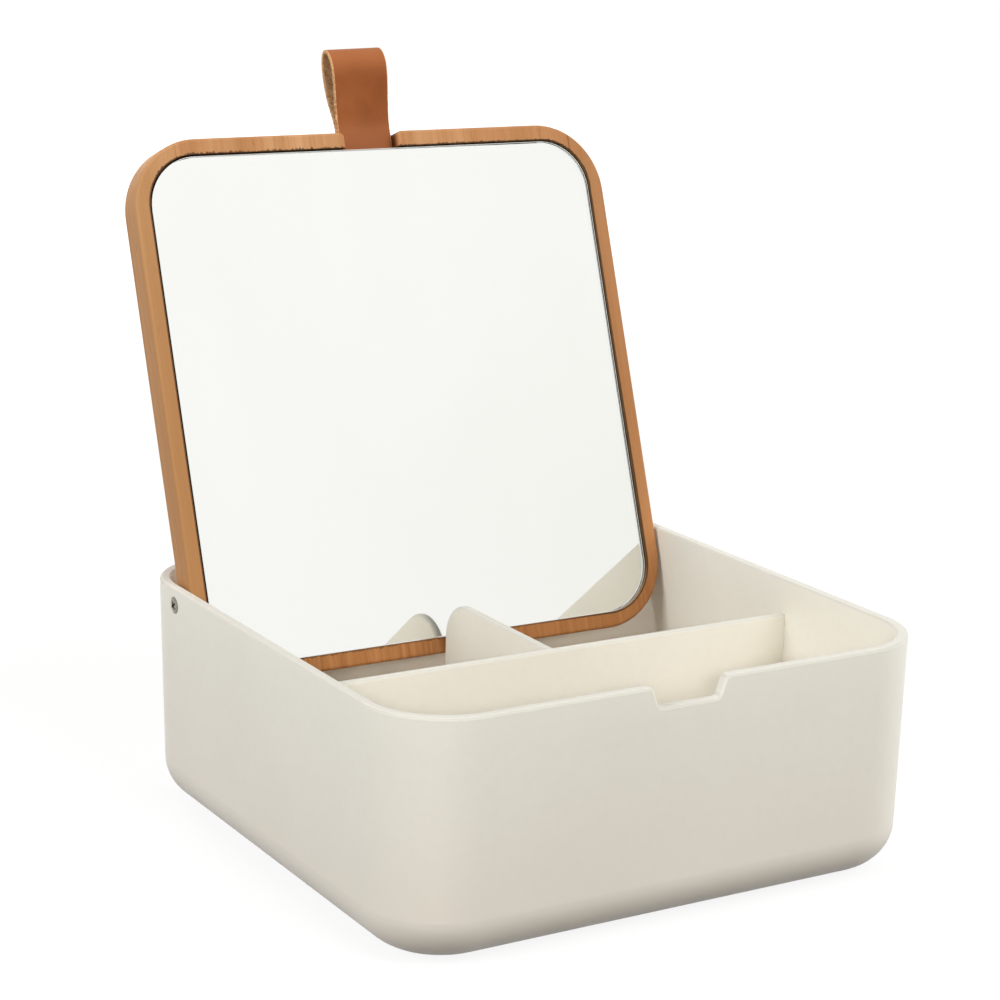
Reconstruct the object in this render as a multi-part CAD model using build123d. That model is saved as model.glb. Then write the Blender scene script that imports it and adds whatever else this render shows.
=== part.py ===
from build123d import *
from math import cos, degrees, radians, sin, atan
import os

# Vanity box: a square moulded tray and a hinged board lid that carries a mirror inside.
# Millimetres. X across the box, Y from front to back, Z up, origin in the middle of the base.
# The lid is drawn closed, in its own place over the tray, then swung open about its pivots.

# Tray
BOX = 180.0                # outside width and depth at the rim
BOX_H = 72.4               # height of the rim above the table
CORNER_R = 25.6            # outside corner radius at the rim
LEAN = 1.35                # how far each wall leans in between rim and base
BASE_R = 13.9              # rounding between wall and base
WALL = 3.5
FLOOR = 3.0
CAVITY_R = 10.4            # rounding between the inside of the wall and the floor
RIM_R = 0.9                # rounding of both rim edges

# Dip in the front rim, where the strap comes out
DIP_TOP = 24.8
DIP_BOTTOM = 20.2
DIP_Z = 66.0
DIP_SHOULDER_R = 1.8
DIP_CORNER_R = 2.0

# Dividers
DIVIDER_Z = 61.5           # top of both dividers, just under the closed lid
CROSS_Y = -16.45           # middle of the side-to-side divider
CROSS_T = 2.6
LONG_T = 2.8               # front-to-back divider, on X = 0
LONG_END_Y = 46.25         # its free end, which the open lid leans on
LONG_END_R = 13.0          # cleared corner at its free end
DIVIDER_EDGE_R = 1.1

# Lid board, drawn closed
LID = 171.3                # width and length
LID_T = 10.0
LID_CORNER_R = 23.2
LID_EDGE_R = 1.0
LID_Z = 63.13              # inner face when closed
PIVOT_Y = 58.8
PIVOT_Z = 67.2
PIVOT_TO_TIP = 144.35      # from the pivot to the lid's free end
OPEN_ANGLE = 109.2

# Mirror and its recess
RECESS = 161.2
RECESS_R = 16.9
RECESS_DEPTH = 3.4
GLASS_W = 159.9
GLASS_L = 160.4
GLASS_R = 16.6
GLASS_T = 2.0
GLASS_EDGE = 0.2           # ground edge all round the front
GLASS_DROP = 0.2           # the glass sits on the low side of its recess
TAPE = 150.0
TAPE_R = 12.0
TAPE_T = 1.0

# Strap and its slot
STRAP_W = 19.2
STRAP_T = 1.2
SLOT_W = 19.6
SLOT_DEPTH = 7.3
SLOT_INNER = 127.0         # distance of the slot's inner end from the pivot
SLOT_MOUTH_R = 1.6
# Middle of the leather: distance from the pivot, height above the lid's inner face
STRAP_TAIL_IN = (127.6, 5.25)
STRAP_TAIL_OUT = (127.6, 6.55)
STRAP_LOOP = [
    (145.2, 5.25), (148.2, 5.10), (151.6, 4.60), (155.6, 3.72), (159.6, 2.78), (163.4, 1.98),
    (166.9, 1.78), (169.8, 2.45), (171.8, 3.85), (172.65, 5.50), (171.8, 7.05), (169.4, 8.15),
    (165.4, 8.80), (161.2, 8.95), (157.2, 8.62), (153.6, 7.82), (150.2, 6.98), (147.4, 6.60),
    (145.2, 6.55),
]
STRAP_SAMPLES = 60

# Pivot screws
SHANK_D = 3.0
BORE_D = 3.1               # running hole through the tray wall
HEAD_D = 5.2
HEAD_RISE = 0.45           # raised part of the countersunk head
HEAD_LAND = 0.3
HEAD_X = 89.95             # where the head meets the outside of the wall
SINK_GAP = 0.1
PILOT_END = 81.2           # bottom of the pilot hole in the board's edge
CROSS_LENGTH = 2.8
CROSS_WIDTH = 0.7
CROSS_DEPTH = 1.1

DRAFT_ANGLE = degrees(atan(LEAN / BOX_H))
PIVOT = Axis((0, PIVOT_Y, PIVOT_Z), (1, 0, 0))
LID_MID_Y = PIVOT_Y - PIVOT_TO_TIP + LID / 2


def drafted_block(width_at_rim, radius_at_rim, bottom_z, edge_r):
    """Square block with rounded corners that widens up to the rim, its bottom edge rounded."""
    inset = LEAN * (BOX_H - bottom_z) / BOX_H
    base = RectangleRounded(width_at_rim - 2 * inset, width_at_rim - 2 * inset, radius_at_rim - inset)
    block = extrude(Plane.XY.offset(bottom_z) * base, BOX_H - bottom_z, taper=-DRAFT_ANGLE)
    return fillet(block.faces().sort_by(Axis.Z)[0].edges(), edge_r)


def slab(width, length, corner_r, low_z, thickness):
    """Flat plate with rounded corners, centred on the closed lid."""
    outline = Pos(0, LID_MID_Y, low_z) * RectangleRounded(width, length, corner_r)
    return extrude(outline, thickness)


def opened(shape):
    """Swing a piece drawn on the closed lid to the open position."""
    return shape.rotate(PIVOT, -OPEN_ANGLE)


def lid_point(reach, height):
    """Point in the YZ plane from its distance to the pivot and height above the inner face."""
    return Vector(0, PIVOT_Y - reach, LID_Z + height)


def make_dividers(cavity):
    cross = Pos(0, CROSS_Y, DIVIDER_Z / 2) * Box(BOX, CROSS_T, DIVIDER_Z)
    top = cross.faces().sort_by(Axis.Z)[-1]
    cross = fillet(top.edges().filter_by(Axis.X), DIVIDER_EDGE_R)

    arc_mid = LONG_END_R * (1 - sin(radians(45)))
    side = make_face(
        Polyline(
            (0, LONG_END_Y, DIVIDER_Z - LONG_END_R),
            (0, LONG_END_Y, 0),
            (0, CROSS_Y, 0),
            (0, CROSS_Y, DIVIDER_Z),
            (0, LONG_END_Y - LONG_END_R, DIVIDER_Z),
        )
        + ThreePointArc(
            (0, LONG_END_Y - LONG_END_R, DIVIDER_Z),
            (0, LONG_END_Y - arc_mid, DIVIDER_Z - arc_mid),
            (0, LONG_END_Y, DIVIDER_Z - LONG_END_R),
        )
    )
    long = extrude(side, LONG_T / 2, dir=(1, 0, 0), both=True)
    rounded = [
        e
        for e in long.edges()
        if abs(abs(e.center().X) - LONG_T / 2) < 0.01
        and (e.center().Z > DIVIDER_Z - LONG_END_R or e.center().Y > LONG_END_Y - 0.01)
        and e.center().Y > CROSS_Y + 1
    ]
    long = fillet(rounded, DIVIDER_EDGE_R)
    return (cross + long) & cavity


def cut_dip(body):
    """Cut the dip through the front rim, shoulders and corners rounded."""
    profile = make_face(
        Polyline(
            (-DIP_TOP / 2, 0, BOX_H),
            (-DIP_BOTTOM / 2, 0, DIP_Z),
            (DIP_BOTTOM / 2, 0, DIP_Z),
            (DIP_TOP / 2, 0, BOX_H),
            (DIP_TOP / 2, 0, BOX_H + 5),
            (-DIP_TOP / 2, 0, BOX_H + 5),
            close=True,
        )
    )
    tool = extrude(Pos(0, -BOX / 2 - 1, 0) * profile, 2 * WALL, dir=(0, 1, 0))
    body = body - tool

    def along_wall(z, half):
        return [
            e
            for e in body.edges().filter_by(Axis.Y, tolerance=2)
            if abs(e.center().Z - z) < 0.05
            and abs(abs(e.center().X) - half) < 0.1
            and e.center().Y < -BOX / 2 + 2 * WALL
        ]

    body = fillet(along_wall(DIP_Z, DIP_BOTTOM / 2), DIP_CORNER_R)
    return fillet(along_wall(BOX_H, DIP_TOP / 2), DIP_SHOULDER_R)


def round_rim(body):
    """Round both edges of the rim, down into the dip as well."""
    band = [
        f
        for f in body.faces()
        if f.center().Z > DIP_Z - 0.5
        and f.normal_at(f.center()).Z > 0.05
        and (f.center().Z > BOX_H - 0.01 or f.center().Y < -BOX / 2 + WALL)
    ]
    uses = {}
    for f in band:
        for e in f.edges():
            key = tuple(round(c, 2) for c in e.center())
            uses.setdefault(key, []).append(e)
    return fillet([es[0] for es in uses.values() if len(es) == 1], RIM_R)


def make_tray():
    outer = drafted_block(BOX, CORNER_R, 0, BASE_R)
    cavity = drafted_block(BOX - 2 * WALL, CORNER_R - WALL, FLOOR, CAVITY_R)
    shell = round_rim(cut_dip(outer - cavity))
    tray = shell + make_dividers(cavity)
    sink_r = HEAD_D / 2 + SINK_GAP
    sink_depth = sink_r - BORE_D / 2
    for side in (-1, 1):
        turned = Plane((side * HEAD_X, PIVOT_Y, PIVOT_Z), z_dir=(side, 0, 0))
        tray -= turned * Cylinder(BORE_D / 2, 20)
        tray -= turned * Pos(0, 0, -HEAD_LAND - sink_depth / 2) * Cone(BORE_D / 2, sink_r, sink_depth)
        tray -= turned * Cylinder(sink_r, 2 * HEAD_LAND)
    return tray


def make_screw(side):
    """Raised countersunk screw, its head in the wall and its point in the board's edge."""
    head_r = HEAD_D / 2
    shank_r = SHANK_D / 2
    neck = HEAD_LAND + head_r - shank_r
    length = HEAD_X - PILOT_END
    dome_mid = HEAD_RISE * 0.75
    profile = make_face(
        Polyline(
            (0, 0, HEAD_RISE),
            (0, 0, -length + 0.05),
            (shank_r * 0.2, 0, -length + 0.05),
            (shank_r, 0, -length + shank_r),
            (shank_r, 0, -neck),
            (head_r, 0, -HEAD_LAND),
            (head_r, 0, 0),
        )
        + ThreePointArc((head_r, 0, 0), (head_r / 2, 0, dome_mid), (0, 0, HEAD_RISE))
    )
    screw = revolve(profile, Axis.Z)
    for turn in (0, 90):
        blade = Box(CROSS_LENGTH, CROSS_WIDTH, 2 * CROSS_DEPTH)
        screw -= Pos(0, 0, HEAD_RISE) * Rot(0, 0, turn + 20) * blade
    return Plane((side * HEAD_X, PIVOT_Y, PIVOT_Z), z_dir=(side, 0, 0)) * screw


def make_lid_board():
    board = slab(LID, LID, LID_CORNER_R, LID_Z, LID_T)
    slot_length = PIVOT_TO_TIP - SLOT_INNER + 5
    slot_y = PIVOT_Y - SLOT_INNER - slot_length / 2
    board -= Pos(0, slot_y, LID_Z + SLOT_DEPTH / 2) * Box(SLOT_W, slot_length, SLOT_DEPTH)
    tip_y = PIVOT_Y - PIVOT_TO_TIP
    mouth = [
        e
        for e in board.edges().filter_by(Axis.Z)
        if abs(abs(e.center().X) - SLOT_W / 2) < 0.01 and abs(e.center().Y - tip_y) < 0.01
    ]
    board = fillet(mouth, SLOT_MOUTH_R)
    top = board.faces().sort_by(Axis.Z)[-1]
    board = fillet(top.edges(), LID_EDGE_R)
    rim = [
        e
        for e in board.faces().sort_by(Axis.Z)[0].edges()
        if e.center().Y > PIVOT_Y - SLOT_INNER or abs(e.center().X) > SLOT_W / 2 + 0.01
    ]
    board = fillet(rim, LID_EDGE_R)
    board -= slab(RECESS, RECESS, RECESS_R, LID_Z, RECESS_DEPTH)
    for side in (-1, 1):
        start = Plane((side * LID / 2, PIVOT_Y, PIVOT_Z), z_dir=(-side, 0, 0))
        depth = LID / 2 - PILOT_END
        board -= start * Pos(0, 0, depth / 2) * Cylinder(SHANK_D / 2, depth)
    return board


def make_glass():
    front = LID_Z + RECESS_DEPTH - TAPE_T - GLASS_T
    glass = Pos(0, GLASS_DROP, 0) * slab(GLASS_W, GLASS_L, GLASS_R, front, GLASS_T)
    return chamfer(glass.faces().sort_by(Axis.Z)[0].edges(), GLASS_EDGE)


def make_strap():
    """One band folded back on itself; both tails lie in the slot."""
    loop = Spline(
        *[lid_point(*p) for p in STRAP_LOOP],
        tangents=[Vector(0, -1, 0), Vector(0, 1, 0)],
    )
    inner = []
    outer = []
    for i in range(STRAP_SAMPLES + 1):
        u = i / STRAP_SAMPLES
        along = (loop % u).normalized()
        away = Vector(0, along.Z, -along.Y).normalized() * (STRAP_T / 2)
        inner.append((loop @ u) + away)
        outer.append((loop @ u) - away)
    if inner[0].Z < outer[0].Z:
        inner, outer = outer, inner
    tail_in = lid_point(*STRAP_TAIL_IN)
    tail_out = lid_point(*STRAP_TAIL_OUT)
    half = Vector(0, 0, STRAP_T / 2)
    band = make_face(
        Spline(*outer)
        + Line(outer[-1], tail_out + half)
        + Line(tail_out + half, tail_out - half)
        + Line(tail_out - half, inner[-1])
        + Spline(*inner)
        + Line(inner[0], tail_in + half)
        + Line(tail_in + half, tail_in - half)
        + Line(tail_in - half, outer[0])
    )
    return extrude(band, STRAP_W / 2, dir=(1, 0, 0), both=True)


tape_low = LID_Z + RECESS_DEPTH - TAPE_T
nodes = {
    "tray": make_tray(),
    "lid_board": opened(make_lid_board()),
    "mirror_glass": opened(make_glass()),
    "mirror_tape": opened(slab(TAPE, TAPE, TAPE_R, tape_low, TAPE_T)),
    "strap": opened(make_strap()),
    "pivot_screw_left": opened(make_screw(-1)),
    "pivot_screw_right": opened(make_screw(1)),
}

os.makedirs("parts", exist_ok=True)
for name, shape in nodes.items():
    shape.label = name
    export_step(shape, f"parts/{name}.step")
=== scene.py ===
import math

import bmesh
import bpy
from mathutils import Matrix, Vector


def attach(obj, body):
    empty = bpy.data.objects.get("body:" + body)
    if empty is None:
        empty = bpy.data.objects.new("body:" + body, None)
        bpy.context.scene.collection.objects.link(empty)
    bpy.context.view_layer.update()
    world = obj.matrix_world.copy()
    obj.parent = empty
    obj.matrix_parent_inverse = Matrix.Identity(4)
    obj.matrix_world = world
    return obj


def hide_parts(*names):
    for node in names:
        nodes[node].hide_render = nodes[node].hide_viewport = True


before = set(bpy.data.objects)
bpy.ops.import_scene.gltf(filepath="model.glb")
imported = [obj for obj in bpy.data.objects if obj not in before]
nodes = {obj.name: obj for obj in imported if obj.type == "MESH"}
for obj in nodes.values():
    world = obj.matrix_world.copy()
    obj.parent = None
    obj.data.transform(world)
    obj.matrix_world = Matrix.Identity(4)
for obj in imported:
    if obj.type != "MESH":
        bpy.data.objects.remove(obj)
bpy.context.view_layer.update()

MM = 0.001
PER_METRE = 1000

# ---------------------------------------------------------------- lid frame
# A point of the open lid is given by x, its reach from the pivot up the lid, and its
# height above the lid's inner face, towards the outside of the board. All in millimetres.
PIVOT = Vector((0, 58.8, 67.2))
OPEN = math.radians(109.2)
LEAN = OPEN - math.pi / 2
UP = Vector((0, -math.cos(OPEN), math.sin(OPEN)))
BACK = Vector((0, math.sin(OPEN), math.cos(OPEN)))
LID_Z = 63.13               # the inner face when the lid is shut
LID_SIZE = 171.3
LID_END = 144.35            # reach of the free end
LID_MID = LID_END - LID_SIZE / 2
RECESS = 161.2
RECESS_R = 16.9


def on_lid(x, reach, height):
    """The place of a point of the open lid, in metres."""
    return (PIVOT + Vector((x, 0, 0)) + UP * reach + BACK * (height + LID_Z - PIVOT.z)) * MM


# ---------------------------------------------------------------- camera
CAMERA_AT = Vector((-401.97, -659.8188, 294.4346)) * MM
YAW = 0.5369                # radians, as are the next two
PITCH = 0.2419
ROLL = 0.0209
FOCAL_PX = 2631.3475
IMAGE_PX = 1000
SENSOR_MM = 36


def make_camera():
    """The scene's camera, from its place, angles and focal length."""
    forward = Vector((
        math.sin(YAW) * math.cos(PITCH),
        math.cos(YAW) * math.cos(PITCH),
        -math.sin(PITCH),
    ))
    level = Vector((math.cos(YAW), -math.sin(YAW), 0))
    upright = level.cross(forward)
    right = level * math.cos(ROLL) + upright * math.sin(ROLL)
    up = upright * math.cos(ROLL) - level * math.sin(ROLL)
    data = bpy.data.cameras.new("camera")
    data.sensor_width = SENSOR_MM
    data.lens = FOCAL_PX / IMAGE_PX * data.sensor_width
    camera = bpy.data.objects.new("camera", data)
    turn = Matrix((right, up, -forward)).transposed().to_4x4()
    camera.matrix_world = Matrix.Translation(CAMERA_AT) @ turn
    bpy.context.scene.collection.objects.link(camera)
    bpy.context.scene.camera = camera


# ---------------------------------------------------------------- node trees
class Tree:
    """The node tree of a new material or world, with short calls for the nodes used here."""

    def __init__(self, name, world=False):
        self.owner = (bpy.data.worlds if world else bpy.data.materials).new(name)
        self.owner.use_nodes = True
        self.nodes = self.owner.node_tree.nodes
        self.links = self.owner.node_tree.links
        self.nodes.clear()
        self.output = self.node("OutputWorld" if world else "OutputMaterial")

    def put(self, socket, value):
        """Links a socket, or sets its value. A colour may leave out its alpha of 1."""
        if isinstance(value, bpy.types.NodeSocket):
            self.links.new(value, socket)
        elif isinstance(value, tuple) and len(value) == 3 and len(socket.default_value) == 4:
            socket.default_value = (*value, 1)
        else:
            socket.default_value = value

    def node(self, kind, inputs=(), **settings):
        """A new node with its settings, and its inputs by name or number."""
        made = self.nodes.new("ShaderNode" + kind)
        for name, value in settings.items():
            setattr(made, name, value)
        for name, value in dict(inputs).items():
            self.put(made.inputs[name], value)
        return made

    def surface(self, shader):
        """Links a shader node to the output. Returns the material or world."""
        self.put(self.output.inputs["Surface"], shader.outputs[0])
        return self.owner

    def math(self, operation, a, b=0.0):
        return self.node("Math", {0: a, 1: b}, operation=operation).outputs[0]

    def times(self, a, b):
        return self.math("MULTIPLY", a, b)

    def larger(self, a, b):
        return self.math("MAXIMUM", a, b)

    def distance(self, a, b):
        """How far two values are apart."""
        return self.math("ABSOLUTE", self.math("SUBTRACT", a, b))

    def noise(self, vector, scale, detail=2.0, roughness=0.5):
        """Grey noise, around 0.5."""
        made = self.node(
            "TexNoise",
            {"Vector": vector, "Scale": scale, "Detail": detail, "Roughness": roughness},
        )
        return made.outputs["Fac"]

    def fibres(self, lid, across, along, detail=2.0, roughness=0.5):
        """Noise with one scale across the lid and through it, and another up the lid."""
        drawn = self.node("Mapping", {"Vector": lid, "Scale": (across, across, along)})
        return self.noise(drawn.outputs[0], 1.0, detail, roughness)

    def cells(self, vector, scale, feature="F1"):
        """The distance from the middle of each cell of a cellular pattern."""
        made = self.node("TexVoronoi", {"Vector": vector, "Scale": scale}, feature=feature)
        return made.outputs["Distance"]

    def ramp(self, factor, *stops):
        """A colour or grey that follows stops of (position, colour)."""
        made = self.node("ValToRGB", {"Fac": factor})
        points = made.color_ramp.elements
        while len(points) < len(stops):
            points.new(0.5)
        for point, (position, colour) in zip(points, stops):
            point.position = position
            point.color = (*colour, 1) if isinstance(colour, tuple) else (*[colour] * 3, 1)
        return made.outputs["Color"]

    def spread(self, value, low, high, to_low=0.0, to_high=1.0, smooth=False):
        """Goes from to_low to to_high as the value goes from low to high, and stays there."""
        ends = {"From Min": low, "From Max": high, "To Min": to_low, "To Max": to_high}
        made = self.node(
            "MapRange",
            {"Value": value, **ends},
            interpolation_type="SMOOTHSTEP" if smooth else "LINEAR",
        )
        return made.outputs["Result"]

    def mix(self, factor, a, b):
        """Goes from colour a to colour b as the factor goes from 0 to 1."""
        return self.node("Mix", {0: factor, 6: a, 7: b}, data_type="RGBA").outputs[2]

    def bump(self, height, strength, distance, normal=None):
        """A normal with bumps of a distance in millimetres, on top of another normal."""
        made = self.node(
            "Bump",
            {"Height": height, "Strength": strength, "Distance": distance * MM},
        )
        if normal is not None:
            self.put(made.inputs["Normal"], normal)
        return made.outputs["Normal"]

    def principled(self, **inputs):
        """The finished material, from the inputs of its surface."""
        named = {name.replace("_", " "): value for name, value in inputs.items()}
        return self.surface(self.node("BsdfPrincipled", named))

    def millimetres(self):
        """Coordinates of the CAD frame, in millimetres."""
        place = self.node("TexCoord").outputs["Object"]
        made = self.node("Mapping", {"Vector": place, "Scale": (PER_METRE, PER_METRE, PER_METRE)})
        return made.outputs[0]

    def lid_millimetres(self):
        """Coordinates on the open lid: x, height above the inner face, reach from the pivot."""
        place = self.node("TexCoord").outputs["Object"]
        origin = on_lid(0, 0, 0) * PER_METRE
        turn = Matrix.Rotation(LEAN, 3, "X")
        made = self.node(
            "Mapping",
            {
                "Vector": place,
                "Location": -(turn @ origin),
                "Rotation": (LEAN, 0, 0),
                "Scale": (PER_METRE, PER_METRE, PER_METRE),
            },
        )
        return made.outputs[0]

    def parts_of(self, vector):
        """The three parts of a vector."""
        return tuple(self.node("SeparateXYZ", {0: vector}).outputs)

    def seen_directly(self):
        """1 for rays from the camera, off metal and gloss, or through glass, and 0 for others."""
        path = self.node("LightPath")
        ray = self.larger(path.outputs["Is Camera Ray"], path.outputs["Is Glossy Ray"])
        return self.larger(ray, path.outputs["Is Transmission Ray"])


def srgb(r, g, b):
    """Linear colour of an 8-bit colour."""
    return tuple(
        c / 255 / 12.92 if c <= 10 else ((c / 255 + 0.055) / 1.055) ** 2.4
        for c in (r, g, b)
    )


# ---------------------------------------------------------------- ivory plastic
IVORY_DEEP = srgb(234, 231, 219)
IVORY_PALE = srgb(239, 236, 225)
IVORY_MOTTLE = srgb(221, 213, 199)
IVORY_LOW_SHADE = srgb(223, 211, 199)
IVORY_FOOT_SHADE = srgb(212, 203, 190)
IVORY_TOP_LIGHT = srgb(243, 240, 230)
IVORY_RIM_SHADE = srgb(208, 205, 196)

# Heights over the table between which a mask goes from nothing to full, in millimetres: for the
# painted shade on the lower walls, the foot and the rims, and the painted light near the top.
LOWER_WALLS = (62, 0)
FOOT = (15, -1)
TOP = (60, 72)
RIMS = (50, 56)


def ivory_plastic():
    """Satin moulded plastic: ivory with faint flow shades and a fine moulded grain; painted shade
    on the lower walls, the foot and the rim tops, and painted light near the top of the walls.
    """
    t = Tree("ivory_plastic")
    place = t.millimetres()
    height = t.parts_of(place)[2]
    facing_up = t.parts_of(t.node("NewGeometry").outputs["Normal"])[2]

    flow = t.noise(place, 0.018, 2.0, 0.45)
    mottle = t.noise(place, 0.35, 3.0, 0.6)
    colour = t.mix(t.spread(flow, 0.3, 0.7), IVORY_DEEP, IVORY_PALE)
    colour = t.mix(t.spread(mottle, 0.35, 0.75, 0.0, 0.12), colour, IVORY_MOTTLE)
    # Painted shade: the walls darker towards the table.
    colour = t.mix(t.spread(height, *LOWER_WALLS, 0.0, 0.42), colour, IVORY_LOW_SHADE)
    # Painted shade: the round at the foot of the walls darker, but not on faces that look up.
    foot_shade = t.spread(height, *FOOT, 0.0, 0.55, smooth=True)
    foot_shade = t.times(foot_shade, t.spread(facing_up, 0.6, 0.1))
    colour = t.mix(foot_shade, colour, IVORY_FOOT_SHADE)
    # Painted light: the walls paler near their top.
    colour = t.mix(t.spread(height, *TOP, 0.0, 0.45, smooth=True), colour, IVORY_TOP_LIGHT)
    # Painted shade: faces that look up, on the rims and dividers' tops, darker, most on their
    # rounded edges.
    rim_shade = t.ramp(facing_up, (0.0, 0.0), (0.30, 0.35), (0.62, 1.0), (1.0, 0.55))
    colour = t.mix(t.times(rim_shade, t.spread(height, *RIMS)), colour, IVORY_RIM_SHADE)

    grain = t.noise(place, 5.0, 2.0, 0.6)
    return t.principled(
        Base_Color=colour,
        Roughness=t.spread(t.noise(place, 0.12, 3.0, 0.6), 0.3, 0.7, 0.40, 0.50),
        Specular_IOR_Level=0.3,
        Normal=t.bump(grain, 0.12, 0.05),
    )


# ---------------------------------------------------------------- bamboo
WOOD_DARK = srgb(184, 131, 86)
WOOD_MID = srgb(196, 144, 99)
WOOD_PALE = srgb(207, 157, 113)
WOOD_STREAK = srgb(170, 114, 66)
WOOD_FLECK = srgb(112, 66, 34)
WOOD_LOW_SHADE = srgb(158, 102, 54)
WOOD_LOW_RIGHT_SHADE = srgb(118, 72, 38)
WOOD_LOW_DARK = srgb(112, 64, 32)
WOOD_LOW_PALE = srgb(196, 140, 90)
WOOD_RIGHT_SHADE = srgb(158, 106, 64)
WOOD_LEFT = srgb(165, 126, 79)
GLUE = srgb(122, 70, 34)
SCORCH = srgb(72, 44, 26)
SCORCH_LOW = srgb(104, 66, 36)
SCORCH_RIGHT_SHADE = srgb(48, 32, 22)
CHAR_LEFT_SHADE = srgb(66, 44, 28)
CHAR_RIGHT = srgb(128, 98, 66)
CHAR_LOW_LIGHT = srgb(222, 186, 142)
SLOT_SHADE = srgb(84, 46, 22)

# Where a mask goes from nothing to full, in millimetres: heights, but for the slot's sides
# (x) and its inner end (reach).
BACK_FACE = (9.7, 9.3)
RECESS_FLOOR = (3.8, 3.5)
SLOT_SIDES = (12.9, 12.4)
SLOT_INNER_END = (128, 134)
SLOT_BACK = (9.4, 8.6)
SLOT_FRONT = (0.8, 3.2)
GLUE_X = 74.6
GLUE_BEND = 2.0             # the line wanders by up to half of this, to either side


def bamboo():
    """Caramel bamboo: fibres up the lid, one glue line, and a recess with burnt, frayed edges;
    painted shade towards the pivots, along the right edge, round the recess's gap and in the
    strap's slot, and painted light on the recess wall at its low end.
    """
    t = Tree("bamboo")
    lid = t.lid_millimetres()
    streak = t.fibres(lid, 0.75, 0.010, 3.0, 0.6)
    fibre = t.fibres(lid, 2.8, 0.05)
    colour = bamboo_grain(t, lid, streak, fibre)
    colour = bamboo_painted_shade_and_tones(t, lid, colour)
    colour = bamboo_glue(t, lid, colour)
    colour = bamboo_burn_and_painted_gap(t, lid, colour)
    colour = bamboo_slot_shade(t, lid, colour)
    normal = t.bump(streak, 0.15, 0.08)
    return t.principled(
        Base_Color=colour,
        Roughness=t.spread(streak, 0.3, 0.7, 0.48, 0.60),
        Specular_IOR_Level=0.25,
        Normal=t.bump(fibre, 0.20, 0.05, normal),
    )


def bamboo_grain(t, lid, streak, fibre):
    """The colour of the plain board, from broad bands down to flecks."""
    broad = t.fibres(lid, 0.10, 0.005)
    fleck = t.fibres(lid, 1.7, 0.11)
    colour = t.ramp(broad, (0.30, WOOD_DARK), (0.50, WOOD_MID), (0.70, WOOD_PALE))
    colour = t.mix(t.spread(streak, 0.48, 0.68, 0.0, 0.42), colour, WOOD_STREAK)
    colour = t.mix(t.spread(streak, 0.30, 0.44, 0.25, 0.0), colour, WOOD_PALE)
    colour = t.mix(t.spread(fibre, 0.50, 0.72, 0.0, 0.30), colour, WOOD_STREAK)
    return t.mix(t.spread(fleck, 0.66, 0.74, 0.0, 0.45), colour, WOOD_FLECK)


def bamboo_painted_shade_and_tones(t, lid, colour):
    """Painted shade towards the pivots, at the low right and along the right edge; coarser grain
    at the low end; and the board darker towards the right and duller towards its left edge.
    """
    x, height, reach = t.parts_of(lid)
    not_back = t.spread(height, *BACK_FACE)
    # Painted shade: the board darker towards the pivots.
    colour = t.mix(t.spread(reach, -15, 110, 0.50, 0.0), colour, WOOD_STREAK)
    pivot_shade = t.times(t.spread(reach, -20, 12, 0.72, 0.0), not_back)
    colour = t.mix(pivot_shade, colour, WOOD_LOW_SHADE)

    low = t.times(t.spread(reach, 4, -20), not_back)
    # Painted shade: the low end darker towards the right.
    low_right_shade = t.times(t.spread(x, -15, 70, 0.0, 0.45), low)
    colour = t.mix(low_right_shade, colour, WOOD_LOW_RIGHT_SHADE)
    coarse = t.fibres(lid, 0.55, 0.02, 3.0, 0.65)
    dark = t.times(t.spread(coarse, 0.50, 0.66, 0.0, 0.42), low)
    colour = t.mix(dark, colour, WOOD_LOW_DARK)
    pale = t.times(t.spread(coarse, 0.50, 0.36, 0.0, 0.38), low)
    colour = t.mix(pale, colour, WOOD_LOW_PALE)

    colour = t.mix(t.spread(x, -10, 50, 0.0, 0.32), colour, WOOD_STREAK)
    # Painted shade: the right edge of the board darker, fading out towards the pivots.
    right = t.times(t.spread(x, 72, 81, 0.0, 0.5), t.spread(reach, 5, 45))
    colour = t.mix(right, colour, WOOD_RIGHT_SHADE)
    return t.mix(t.spread(x, -68, -82, 0.0, 0.35), colour, WOOD_LEFT)


def bamboo_glue(t, lid, colour):
    """The thin, slightly bent glue line at the right of the free end."""
    x, _, reach = t.parts_of(lid)
    bend = t.times(t.math("SUBTRACT", t.fibres(lid, 0.02, 0.03, 1.0), 0.5), GLUE_BEND)
    off = t.distance(t.math("ADD", x, bend), GLUE_X)
    line = t.times(t.spread(off, 0.10, 0.32, 0.75, 0.0), t.spread(reach, 95, 112))
    return t.mix(line, colour, GLUE)


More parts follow.
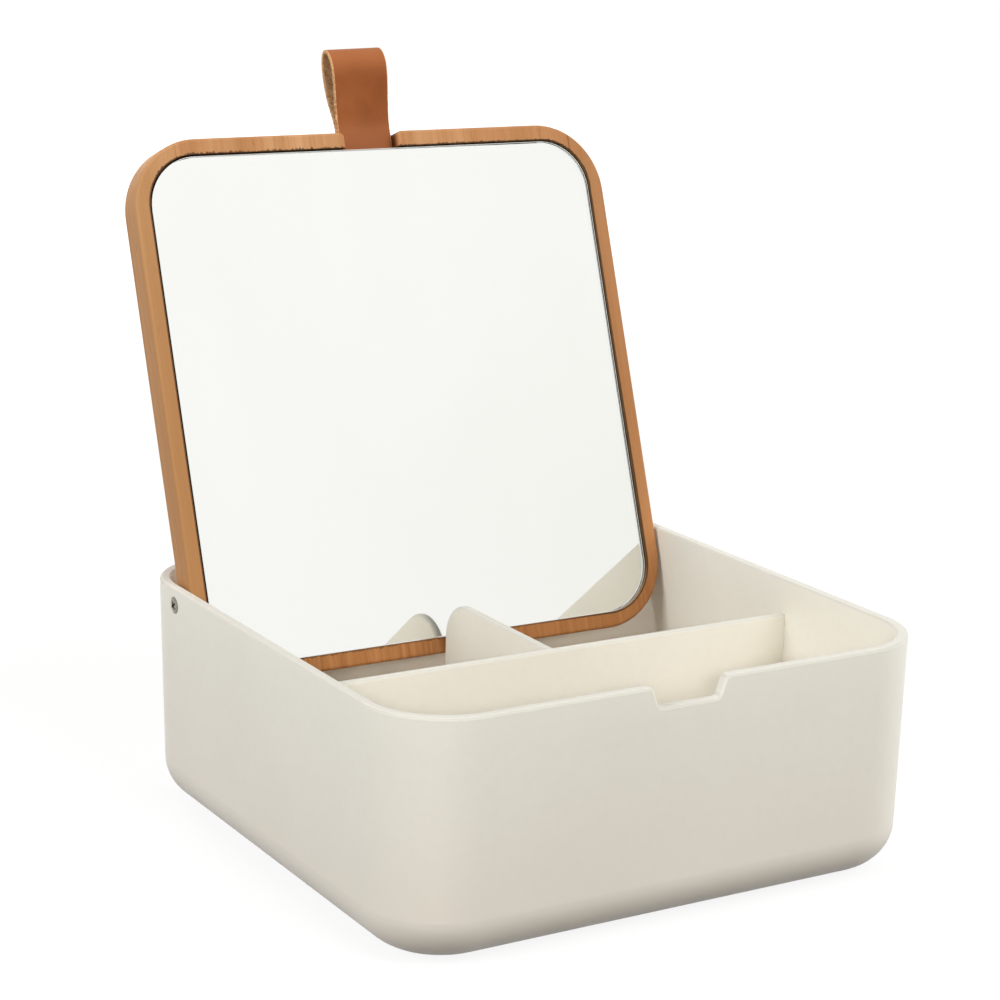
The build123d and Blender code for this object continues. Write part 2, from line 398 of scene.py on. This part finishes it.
def bamboo_burn_and_painted_gap(t, lid, colour):
    """The burnt, frayed edge of the mirror's recess and its charred wall, with painted shade in
    the gap: dark bands along its left and lower right edges and a wall darker to the left; and
    painted light on the wall at the low end.
    """
    x, height, reach = t.parts_of(lid)
    outside = recess_distance(t, x, reach)
    fray = t.fibres(lid, 1.35, 0.16, 3.0, 0.65)
    near_ends = t.spread(t.distance(reach, LID_MID), 56, 74, 0.08, 1.0)
    torn = t.times(t.spread(x, -50, 70, 1.0, 0.5), near_ends)
    width = t.times(t.spread(fray, 0.42, 0.70, 0.02, 0.95), torn)
    # Painted shade: even dark bands along the lower right and the left edges of the recess, where
    # its gap lies in shade.
    line = t.times(t.spread(x, 20, 65, 0.08, 0.45), t.spread(reach, 70, 25, 0.15, 1.0))
    line = t.larger(line, t.spread(x, -64, -76, 0.0, 0.40))
    past_burn_and_shade = t.math("SUBTRACT", outside, t.larger(width, line))

    above_floor = t.spread(height, *RECESS_FLOOR)
    scorch_and_shade = t.mix(t.spread(reach, 0, -16), SCORCH, SCORCH_LOW)
    # Painted shade: the burnt edge darker towards the right.
    scorch_and_shade = t.mix(t.spread(x, 30, 70), scorch_and_shade, SCORCH_RIGHT_SHADE)
    scorched_and_shaded = t.times(t.spread(past_burn_and_shade, -0.05, 0.12, 0.88, 0.0), above_floor)
    colour = t.mix(scorched_and_shaded, colour, scorch_and_shade)

    wall = t.times(t.spread(outside, 0.03, 0.08, 1.0, 0.0), t.spread(height, 0.02, 0.25))
    wall = t.times(wall, above_floor)
    # Painted shade: the recess wall darker towards the left, where its gap lies in shade.
    char_with_shade_and_light = t.mix(t.spread(x, -70, 78), CHAR_LEFT_SHADE, CHAR_RIGHT)
    # Painted light: the wall at the low end paler than the wood itself.
    char_with_shade_and_light = t.mix(t.spread(reach, -8, -20), char_with_shade_and_light, CHAR_LOW_LIGHT)
    charred_with_shade_and_light = t.times(wall, t.spread(fray, 0.28, 0.50, 0.75, 1.0))
    return t.mix(charred_with_shade_and_light, colour, char_with_shade_and_light)


def bamboo_slot_shade(t, lid, colour):
    """Painted shade inside the strap's slot: darker wood between its sides, deeper in."""
    x, height, reach = t.parts_of(lid)
    between_sides = t.spread(t.math("ABSOLUTE", x), *SLOT_SIDES)
    inside = t.times(between_sides, t.spread(reach, *SLOT_INNER_END))
    inside = t.times(inside, t.spread(height, *SLOT_BACK))
    return t.mix(t.times(inside, t.spread(height, *SLOT_FRONT)), colour, SLOT_SHADE)


def recess_distance(t, x, reach):
    """How far a point of the lid's plane lies outside the outline of the mirror's recess."""
    straight = RECESS / 2 - RECESS_R
    past_x = t.math("SUBTRACT", t.math("ABSOLUTE", x), straight)
    past_y = t.math("SUBTRACT", t.distance(reach, LID_MID), straight)
    corner_x = t.larger(past_x, 0.0)
    corner_y = t.larger(past_y, 0.0)
    squares = t.math("ADD", t.times(corner_x, corner_x), t.times(corner_y, corner_y))
    inner = t.math("MINIMUM", t.larger(past_x, past_y), 0.0)
    return t.math("SUBTRACT", t.math("ADD", t.math("SQRT", squares), inner), RECESS_R)


# ---------------------------------------------------------------- mirror
GLASS_TINT = (0.985, 0.992, 0.986)
GLASS_IOR = 1.5
MIRROR_DULL = srgb(249, 249, 245)
MIRROR_CLEAR = srgb(252, 252, 249)
MIRROR_LOW_RIGHT_SHADE = srgb(242, 241, 235)
MIRROR_LOW_SHADE = srgb(243, 242, 239)
FOAM_DARK = srgb(205, 203, 198)
FOAM_PALE = srgb(228, 227, 222)


def clear_glass():
    """Smooth glass with a faint green tint."""
    return Tree("clear_glass").principled(
        Base_Color=GLASS_TINT,
        Roughness=0.0,
        IOR=GLASS_IOR,
        Transmission_Weight=1.0,
    )


def silvering():
    """The mirror coating with a faint haze, and painted shade in its reflection: duller towards
    its lower right and its low end.
    """
    t = Tree("silvering")
    lid = t.lid_millimetres()
    x, _, reach = t.parts_of(lid)
    haze = t.fibres(lid, 0.02, 0.008)
    colour = t.mix(t.spread(haze, 0.3, 0.7), MIRROR_DULL, MIRROR_CLEAR)
    # Painted shade in the reflection: duller towards the lower right and the low end.
    low_right_shade = t.times(t.spread(x, -60, 80, 0.0, 0.75), t.spread(reach, 110, 20, 0.25, 1.0))
    colour = t.mix(low_right_shade, colour, MIRROR_LOW_RIGHT_SHADE)
    colour = t.mix(t.spread(reach, 60, -20, 0.0, 0.4), colour, MIRROR_LOW_SHADE)
    return t.principled(Base_Color=colour, Metallic=1.0, Roughness=0.0)


def foam_tape():
    """The pale foam of the tape behind the glass."""
    t = Tree("foam_tape")
    cells = t.cells(t.millimetres(), 2.5)
    colour = t.mix(t.spread(cells, 0.1, 0.6), FOAM_DARK, FOAM_PALE)
    return t.principled(Base_Color=colour, Roughness=0.9, Normal=t.bump(cells, 0.3, 0.1))


# ---------------------------------------------------------------- leather and nickel
LEATHER_DARK = srgb(136, 75, 34)
LEATHER_MID = srgb(145, 81, 39)
LEATHER_PALE = srgb(154, 89, 45)
LEATHER_MOTTLE = srgb(126, 66, 30)
LEATHER_TIP_HIGHLIGHT = srgb(167, 100, 57)
LEATHER_ROOT = srgb(162, 100, 62)
CUT_DARK = srgb(196, 144, 98)
CUT_PALE = srgb(236, 192, 146)
CUT_WORN = srgb(130, 80, 44)
FLESH_DARK = srgb(172, 128, 88)
FLESH_PALE = srgb(220, 180, 136)
FLESH_CLUMP = srgb(112, 72, 42)
NICKEL_DARK = srgb(126, 117, 104)
NICKEL_PALE = srgb(164, 157, 146)


def strap_leather():
    """The strap's smooth grain side, paler where it leaves the board, with a painted highlight
    round the bend.
    """
    t = Tree("strap_leather")
    place = t.millimetres()
    reach = t.parts_of(t.lid_millimetres())[2]
    cloud = t.noise(place, 0.10)
    mottle = t.noise(place, 0.8, 3.0, 0.6)
    colour = t.ramp(cloud, (0.3, LEATHER_DARK), (0.55, LEATHER_MID), (0.75, LEATHER_PALE))
    colour = t.mix(t.spread(mottle, 0.50, 0.80, 0.0, 0.20), colour, LEATHER_MOTTLE)
    # Painted highlight: paler round the bend of the loop.
    colour = t.mix(t.spread(reach, 162, 171, 0.0, 0.8, smooth=True), colour, LEATHER_TIP_HIGHLIGHT)
    colour = t.mix(t.spread(reach, 152, 144, 0.0, 0.5, smooth=True), colour, LEATHER_ROOT)
    grain = t.cells(place, 2.6, "SMOOTH_F1")
    normal = t.bump(grain, 0.14, 0.05)
    return t.principled(
        Base_Color=colour,
        Roughness=t.spread(mottle, 0.3, 0.7, 0.44, 0.54),
        Specular_IOR_Level=0.3,
        Normal=t.bump(mottle, 0.15, 0.10, normal),
    )


def strap_edge():
    """The strap's pale, fuzzy cut edges, worn dark in places."""
    t = Tree("strap_edge")
    place = t.millimetres()
    reach = t.parts_of(t.lid_millimetres())[2]
    fuzz = t.noise(place, 3.0, 3.0, 0.7)
    clump = t.noise(place, 1.3, 3.0, 0.7)
    colour = t.mix(t.spread(fuzz, 0.35, 0.65), CUT_DARK, CUT_PALE)
    worn = t.times(t.spread(clump, 0.44, 0.60), t.spread(reach, 168, 158, 0.35, 0.8))
    colour = t.mix(worn, colour, CUT_WORN)
    return t.principled(Base_Color=colour, Roughness=0.8, Normal=t.bump(fuzz, 0.5, 0.15))


def strap_flesh():
    """The strap's rough flesh side."""
    t = Tree("strap_flesh")
    place = t.millimetres()
    fuzz = t.noise(place, 2.2, 4.0, 0.75)
    clump = t.noise(place, 0.8, 3.0, 0.6)
    colour = t.mix(t.spread(fuzz, 0.35, 0.65), FLESH_DARK, FLESH_PALE)
    colour = t.mix(t.spread(clump, 0.50, 0.66, 0.0, 0.6), colour, FLESH_CLUMP)
    return t.principled(Base_Color=colour, Roughness=0.95, Normal=t.bump(fuzz, 0.8, 0.3))


def screw_nickel():
    """Dull nickel plate, slightly worn."""
    t = Tree("screw_nickel")
    wear = t.noise(t.millimetres(), 2.0, 3.0, 0.6)
    return t.principled(
        Base_Color=t.mix(t.spread(wear, 0.35, 0.7), NICKEL_DARK, NICKEL_PALE),
        Metallic=1.0,
        Roughness=t.spread(wear, 0.3, 0.7, 0.28, 0.42),
        Normal=t.bump(wear, 0.1, 0.02),
    )


def paint(obj, material):
    """Gives a CAD object its material."""
    obj.data.materials.clear()
    obj.data.materials.append(material)


# ---------------------------------------------------------------- visual pieces
def new_object(name, bm, *materials):
    """An object in the scene from a bmesh, which it uses up, with its materials."""
    mesh = bpy.data.meshes.new(name)
    for material in materials:
        mesh.materials.append(material)
    bm.normal_update()
    bm.to_mesh(mesh)
    bm.free()
    obj = bpy.data.objects.new(name, mesh)
    bpy.context.scene.collection.objects.link(obj)
    return obj


def rounded_rectangle(left, right, low, high, radius, steps=16):
    """Points (x, y) of a rectangle with rounded corners, in order."""
    points = []
    for quarter in range(4):
        cx = left + radius if quarter in (1, 2) else right - radius
        cy = low + radius if quarter in (2, 3) else high - radius
        for i in range(steps + 1):
            a = math.radians(90 * quarter + 90 * i / steps)
            points.append((cx + radius * math.cos(a), cy + radius * math.sin(a)))
    return points


# The coating's outline stays just inside the glass, which is 2 thick and begins at a height
# of 0.4.
SILVER_LEFT = -79.8
SILVER_RIGHT = 79.75
SILVER_LOW = -21.6
SILVER_HIGH = 138.6
SILVER_R = 16.4
SILVER_HEIGHT = 1.75
SILVER_T = 0.02


def make_silvering():
    """The mirror coating, a thin sheet within the glass, out to near the glass's edge."""
    bm = bmesh.new()
    outline = rounded_rectangle(SILVER_LEFT, SILVER_RIGHT, SILVER_LOW, SILVER_HIGH, SILVER_R)
    front, back = (
        [bm.verts.new(on_lid(x, reach, height)) for x, reach in outline]
        for height in (SILVER_HEIGHT, SILVER_HEIGHT + SILVER_T)
    )
    bm.faces.new(front)
    bm.faces.new(list(reversed(back)))
    count = len(outline)
    for i in range(count):
        j = (i + 1) % count
        bm.faces.new((front[j], front[i], back[i], back[j]))
    obj = new_object("mirror_silvering", bm, silvering())
    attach(obj, "lid")


STRAP_W = 19.2
STRAP_T = 1.2
# The middle of the strap's thickness, as (reach, height), from one hidden end round the
# loop to the other.
STRAP_LINE = [
    (127.6, 5.25), (136.4, 5.25), (145.2, 5.25), (148.2, 5.10), (151.6, 4.60), (155.6, 3.72),
    (159.6, 2.78), (163.4, 1.98), (166.9, 1.78), (169.8, 2.45), (171.8, 3.85), (172.65, 5.50),
    (171.8, 7.05), (169.4, 8.15), (165.4, 8.80), (161.2, 8.95), (157.2, 8.62), (153.6, 7.82),
    (150.2, 6.98), (147.4, 6.60), (145.2, 6.55), (136.4, 6.55), (127.6, 6.55),
]
STRAP_STEPS = 8             # samples from each of those points to the next
STRAP_ACROSS = 28
STRAP_TWIST = 0.9           # how far the edges turn, one down and one up
TWIST_FROM = 148            # reach where the twist begins
TWIST_OVER = 20
GRAIN_ROUND = 0.35          # rounding of the edges towards the grain side
FLESH_ROUND = 0.15          # and towards the flesh side
BEVEL = 0.1
GRAIN, EDGE, FLESH = 0, 1, 2


def smooth_line(points, steps):
    """A smooth curve through the points, as a list of places."""
    line = []
    ends = [points[0]] + list(points) + [points[-1]]
    for i in range(len(points) - 1):
        p0, p1, p2, p3 = (Vector(ends[i + k]) for k in range(4))
        for k in range(steps):
            u = k / steps
            line.append(
                0.5 * (2 * p1 + (p2 - p0) * u + (2 * p0 - 5 * p1 + 4 * p2 - p3) * u * u
                       + (3 * p1 - p0 - 3 * p2 + p3) * u ** 3)
            )
    line.append(Vector(points[-1]))
    return line


def strap_section():
    """Points round the strap's cross-section: x, distance towards the grain side, and zone."""
    half_w = STRAP_W / 2
    half_t = STRAP_T / 2
    edge = [
        (half_w - BEVEL, half_t - BEVEL),
        (half_w, half_t - GRAIN_ROUND),
        (half_w, 0),
        (half_w, -half_t + FLESH_ROUND),
    ]
    across = range(STRAP_ACROSS + 1)
    grain_w = STRAP_W - 2 * GRAIN_ROUND
    flesh_w = STRAP_W - 2 * BEVEL
    return [
        *((-half_w + GRAIN_ROUND + grain_w * i / STRAP_ACROSS, half_t, GRAIN) for i in across),
        *((x, off, EDGE) for x, off in edge),
        *((half_w - BEVEL - flesh_w * i / STRAP_ACROSS, -half_t, FLESH) for i in across),
        *((-x, off, EDGE) for x, off in reversed(edge)),
    ]


def strap_ring(bm, line, i, section):
    """The vertices of the cross-section at one place of the strap's line."""
    before = line[max(i - 1, 0)]
    after = line[min(i + 1, len(line) - 1)]
    along = (after - before).normalized()
    outward = Vector((along.y, -along.x))
    ring = []
    for x, off, _ in section:
        reach, height = line[i] + outward * off
        turn = STRAP_TWIST * min(max((reach - TWIST_FROM) / TWIST_OVER, 0), 1)
        ring.append(bm.verts.new(on_lid(x, reach, height - turn * x / (STRAP_W / 2))))
    return ring


def make_strap():
    """One leather band folded on itself: smooth grain outside, cut edges, flesh side within."""
    line = smooth_line(STRAP_LINE, STRAP_STEPS)
    section = strap_section()
    bm = bmesh.new()
    rings = [strap_ring(bm, line, i, section) for i in range(len(line))]
    count = len(section)
    for low, high in zip(rings, rings[1:]):
        for i in range(count):
            j = (i + 1) % count
            face = bm.faces.new((low[i], low[j], high[j], high[i]))
            zones = {section[i][2], section[j][2]}
            face.material_index = zones.pop() if len(zones) == 1 else EDGE
            face.smooth = True
    for ring in (rings[0], list(reversed(rings[-1]))):
        bm.faces.new(list(reversed(ring))).material_index = EDGE
    bmesh.ops.recalc_face_normals(bm, faces=bm.faces)
    obj = new_object("strap_leather_band", bm, strap_leather(), strap_edge(), strap_flesh())
    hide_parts("strap")
    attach(obj, "lid")


# ---------------------------------------------------------------- stage and light
# Lengths from here on are in metres.
FLOOR_HALF = 9
FLOOR_DROP = 0.0002
FLOOR_NEAR = 0.5            # the floor glows a little less this near the object
FLOOR_FAR = 1.4
FLOOR_NEAR_LEVEL = 0.87
FLOOR_GREY = (0.15, 0.15, 0.15)
WORLD_LEVEL = 0.05
WORLD_TINT = (1.0, 0.99, 0.97)
WHITE = (1.0, 1.0, 1.0)
WARM = (1.0, 0.96, 0.90)
LAMP_TARGET = Vector((0, 0, 0.08))
# Name, place, side, watts and colour.
LAMPS = [
    ("lamp_front", (1.45, -2.1, 1.2), 1.6, 13, WHITE),
    ("lamp_high_front", (0.7, -1.6, 2.0), 1.5, 34, WHITE),
    ("lamp_left", (-2.28, 0.08, 1.2), 1.5, 43.5, WHITE),
    ("lamp_fill", (-1.25, -2.05, 0.82), 0.15, 13, WARM),
    ("lamp_low_front", (0.05, -2.4, 1.0), 0.2, 5.5, WARM),
    ("lamp_above", (0, -0.2, 2.6), 1.8, 13, WHITE),
    ("lamp_right", (2.3, 0.2, 0.15), 1.0, 36, WHITE),
    ("lamp_back", (0.3, 2.3, 0.35), 1.2, 46, WHITE),
]


def make_floor():
    """A floor that looks white but throws little light on the object, and takes its shadow."""
    bm = bmesh.new()
    bmesh.ops.create_grid(bm, x_segments=2, y_segments=2, size=FLOOR_HALF)
    t = Tree("pale_floor")
    place = t.node("TexCoord").outputs["Object"]
    away = t.node("VectorMath", {0: place}, operation="LENGTH").outputs["Value"]
    level = t.spread(away, FLOOR_NEAR, FLOOR_FAR, FLOOR_NEAR_LEVEL, 1.0, smooth=True)
    strength = t.times(t.seen_directly(), level)
    glow = t.node("Emission", {"Color": WHITE, "Strength": strength})
    matt = t.node("BsdfDiffuse", {"Color": FLOOR_GREY})
    both = t.node("AddShader", {0: glow.outputs[0], 1: matt.outputs[0]})
    floor = new_object("floor", bm, t.surface(both))
    floor.location.z = -FLOOR_DROP


def make_world():
    """A world that looks white but throws only a weak light on the object."""
    t = Tree("studio", world=True)
    soft = t.node("Background", {"Color": WORLD_TINT, "Strength": WORLD_LEVEL})
    white = t.node("Background", {"Color": WHITE, "Strength": 1})
    inputs = {0: t.seen_directly(), 1: soft.outputs[0], 2: white.outputs[0]}
    bpy.context.scene.world = t.surface(t.node("MixShader", inputs))


def softbox(name, at, size, watts, colour):
    """A square lamp that faces the object, and shows neither directly nor in gloss or glass."""
    data = bpy.data.lights.new(name, "AREA")
    data.shape = "SQUARE"
    data.size = size
    data.energy = watts
    data.color = colour
    lamp = bpy.data.objects.new(name, data)
    lamp.location = at
    lamp.rotation_mode = "QUATERNION"
    lamp.rotation_quaternion = (LAMP_TARGET - Vector(at)).to_track_quat("-Z", "Y")
    lamp.visible_camera = lamp.visible_glossy = lamp.visible_transmission = False
    bpy.context.scene.collection.objects.link(lamp)


make_camera()
make_world()
make_floor()
for lamp in LAMPS:
    softbox(*lamp)

paint(nodes["tray"], ivory_plastic())
paint(nodes["lid_board"], bamboo())
paint(nodes["mirror_glass"], clear_glass())
paint(nodes["mirror_tape"], foam_tape())
nickel = screw_nickel()
paint(nodes["pivot_screw_left"], nickel)
paint(nodes["pivot_screw_right"], nickel)
make_silvering()
make_strap()

bpy.context.scene.view_settings.view_transform = "Standard"
